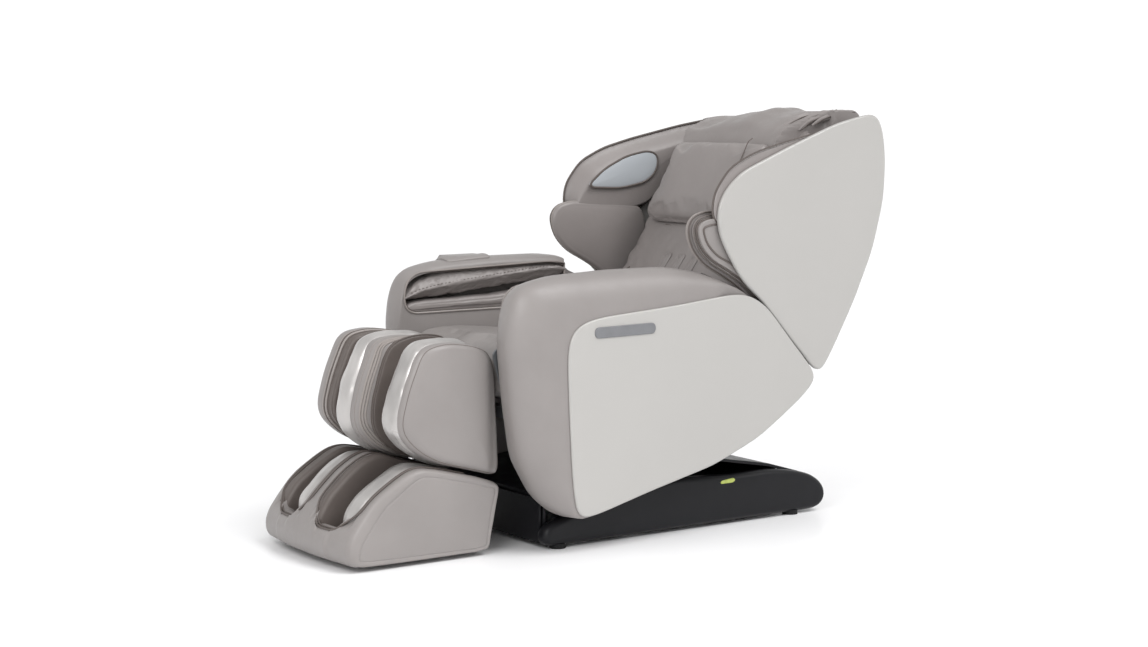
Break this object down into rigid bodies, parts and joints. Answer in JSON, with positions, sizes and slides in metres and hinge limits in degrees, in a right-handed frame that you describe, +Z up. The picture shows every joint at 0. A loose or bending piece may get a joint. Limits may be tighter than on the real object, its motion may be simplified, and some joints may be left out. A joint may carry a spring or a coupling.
{
  "type": "massage chair",
  "caption": "Reclining massage chair with padded arms, head wings, a calf and foot massage unit and a roller mechanism in the back.",
  "frame": {"origin": "centre of the footprint on the floor", "axes": "+Z up, -Y to the front where the sitter faces, +X to the sitter's left"},
  "size_m": [0.7626, 1.6788, 1.1457],
  "materials": {
    "taupe": "smooth upholstery leather, satin",
    "brown": "dark lining leather, matt",
    "silver": "pearl silver leather, soft sheen",
    "white": "satin lacquer",
    "charcoal": "moulded charcoal plastic, low sheen",
    "trim": "brushed satin trim",
    "steel": "zinc plated steel",
    "rubber": "black rubber",
    "device": "dark housings"
  },
  "bodies": {
    "base": {"base_frame": "steel", "base_cover_left": "charcoal", "base_cover_right": "charcoal", "base_cover_center": "charcoal", "base_cover_front": "charcoal", "rubber_foot_front_left": "rubber", "rubber_foot_front_right": "rubber", "rubber_foot_rear_left": "rubber", "rubber_foot_rear_right": "rubber", "power_inlet": "charcoal"},
    "transport_wheel_left": {"transport_wheel_left": "rubber"},
    "transport_wheel_right": {"transport_wheel_right": "rubber"},
    "power_switch": {"power_switch": "rubber"},
    "seat": {"seat_frame": "steel", "seat_cushion": "taupe", "arm_left": "taupe", "arm_right": "taupe", "arm_panel_left": "white", "arm_panel_right": "white", "slot_trim_left": "trim", "slot_trim_right": "trim", "forearm_airbag_left": "brown", "forearm_airbag_right": "brown", "air_pump": "device"},
    "arm_flap": {"arm_flap": "taupe"},
    "legrest": {"calf_wall_left": "taupe", "calf_wall_right": "taupe", "calf_divider": "taupe", "calf_back_panel": "taupe", "calf_airbag_left": "silver", "calf_airbag_right": "silver"},
    "footrest": {"foot_wall_left": "taupe", "foot_wall_right": "taupe", "foot_divider": "taupe", "foot_tray": "taupe", "foot_toe_cap": "taupe", "extension_rod": "steel"},
    "sole_rollers": {"sole_roller_set": "device"},
    "backrest": {"back_panel_left": "white", "back_panel_right": "white", "back_shell": "white", "back_frame": "steel", "back_cushion": "taupe", "wing_upper_left": "taupe", "wing_upper_right": "taupe", "wing_lower_left": "taupe", "wing_lower_right": "taupe", "speaker_left": "trim", "speaker_right": "trim", "top_cap": "taupe"},
    "head_pillow": {"head_pillow": "taupe"},
    "massage_carriage": {"massage_carriage": "device"},
    "roller_arm_left": {"roller_arm_left": "steel"},
    "roller_arm_right": {"roller_arm_right": "steel"},
    "actuator_tube": {"actuator_tube": "device"},
    "actuator_rod": {"actuator_rod": "steel"},
    "massage_roller_upper_left": {"massage_roller_upper_left": "rubber"},
    "massage_roller_lower_left": {"massage_roller_lower_left": "rubber"},
    "massage_roller_upper_right": {"massage_roller_upper_right": "rubber"},
    "massage_roller_lower_right": {"massage_roller_lower_right": "rubber"}
  },
  "joints": [
    {"name": "seat_tilt", "type": "hinge", "parent": "base", "child": "seat", "pos_m": [0, 0.2224, 0.36], "axis": [-1, 0, 0], "range_deg": [0, 15]},
    {"name": "backrest_recline", "type": "hinge", "parent": "seat", "child": "backrest", "pos_m": [0, 0.3424, 0.43], "axis": [-1, 0, 0], "range_deg": [0, 35]},
    {"name": "legrest_lift", "type": "hinge", "parent": "seat", "child": "legrest", "pos_m": [0, -0.3776, 0.52], "axis": [-1, 0, 0], "range_deg": [0, 85]},
    {"name": "footrest_extend", "type": "slide", "parent": "legrest", "child": "footrest", "axis": [0, -0.3, -0.9539], "range_m": [0, 0.15]},
    {"name": "sole_roller_spin", "type": "hinge", "parent": "footrest", "child": "sole_rollers", "pos_m": [0, -0.6276, 0.038], "axis": [1, 0, 0], "continuous": true},
    {"name": "pillow_flip", "type": "hinge", "parent": "backrest", "child": "head_pillow", "pos_m": [0, 0.57348, 1.02681], "axis": [-1, 0, 0], "range_deg": [0, 90]},
    {"name": "carriage_travel", "type": "slide", "parent": "backrest", "child": "massage_carriage", "axis": [0, 0.5299, 0.848], "range_m": [-0.15, 0.17]},
    {"name": "arm_rock_left", "type": "hinge", "parent": "massage_carriage", "child": "roller_arm_left", "pos_m": [0, 0.5468, 0.69917], "axis": [1, 0, 0], "range_deg": [-5, 5]},
    {"name": "arm_rock_right", "type": "hinge", "parent": "massage_carriage", "child": "roller_arm_right", "pos_m": [0, 0.5468, 0.69917], "axis": [1, 0, 0], "range_deg": [-5, 5]},
    {"name": "massage_roller_upper_left_spin", "type": "hinge", "parent": "roller_arm_left", "child": "massage_roller_upper_left", "pos_m": [0, 0.53577, 0.77209], "axis": [1, 0, 0], "continuous": true},
    {"name": "massage_roller_lower_left_spin", "type": "hinge", "parent": "roller_arm_left", "child": "massage_roller_lower_left", "pos_m": [0, 0.47642, 0.67711], "axis": [1, 0, 0], "continuous": true},
    {"name": "massage_roller_upper_right_spin", "type": "hinge", "parent": "roller_arm_right", "child": "massage_roller_upper_right", "pos_m": [0, 0.53577, 0.77209], "axis": [1, 0, 0], "continuous": true},
    {"name": "massage_roller_lower_right_spin", "type": "hinge", "parent": "roller_arm_right", "child": "massage_roller_lower_right", "pos_m": [0, 0.47642, 0.67711], "axis": [1, 0, 0], "continuous": true},
    {"name": "actuator_swing", "type": "hinge", "parent": "seat", "child": "actuator_tube", "pos_m": [0, -0.1256, 0.274], "axis": [1, 0, 0], "range_deg": [-1, 10]},
    {"name": "actuator_stroke", "type": "slide", "parent": "actuator_tube", "child": "actuator_rod", "axis": [0, 0.9922, 0.1243], "range_m": [-0.053, 0.001]},
    {"name": "arm_flap_lift", "type": "hinge", "parent": "seat", "child": "arm_flap", "pos_m": [-0.35, -0.1501, 0.7292], "axis": [0, -1, 0], "range_deg": [0, 80]},
    {"name": "transport_wheel_left_spin", "type": "hinge", "parent": "base", "child": "transport_wheel_left", "pos_m": [0, 0.6524, 0.052], "axis": [1, 0, 0], "continuous": true},
    {"name": "transport_wheel_right_spin", "type": "hinge", "parent": "base", "child": "transport_wheel_right", "pos_m": [0, 0.6524, 0.052], "axis": [1, 0, 0], "continuous": true},
    {"name": "power_rocker", "type": "hinge", "parent": "base", "child": "power_switch", "pos_m": [0, 0.6364, 0.08], "axis": [1, 0, 0], "range_deg": [0, 14]}
  ],
  "couplings": [
    {"joint": "arm_rock_right", "follows": "arm_rock_left", "ratio": -1},
    {"joint": "actuator_swing", "follows": "backrest_recline", "ratio": 0.1077},
    {"joint": "actuator_stroke", "follows": "backrest_recline", "m_per_rad": -0.0841}
  ]
}
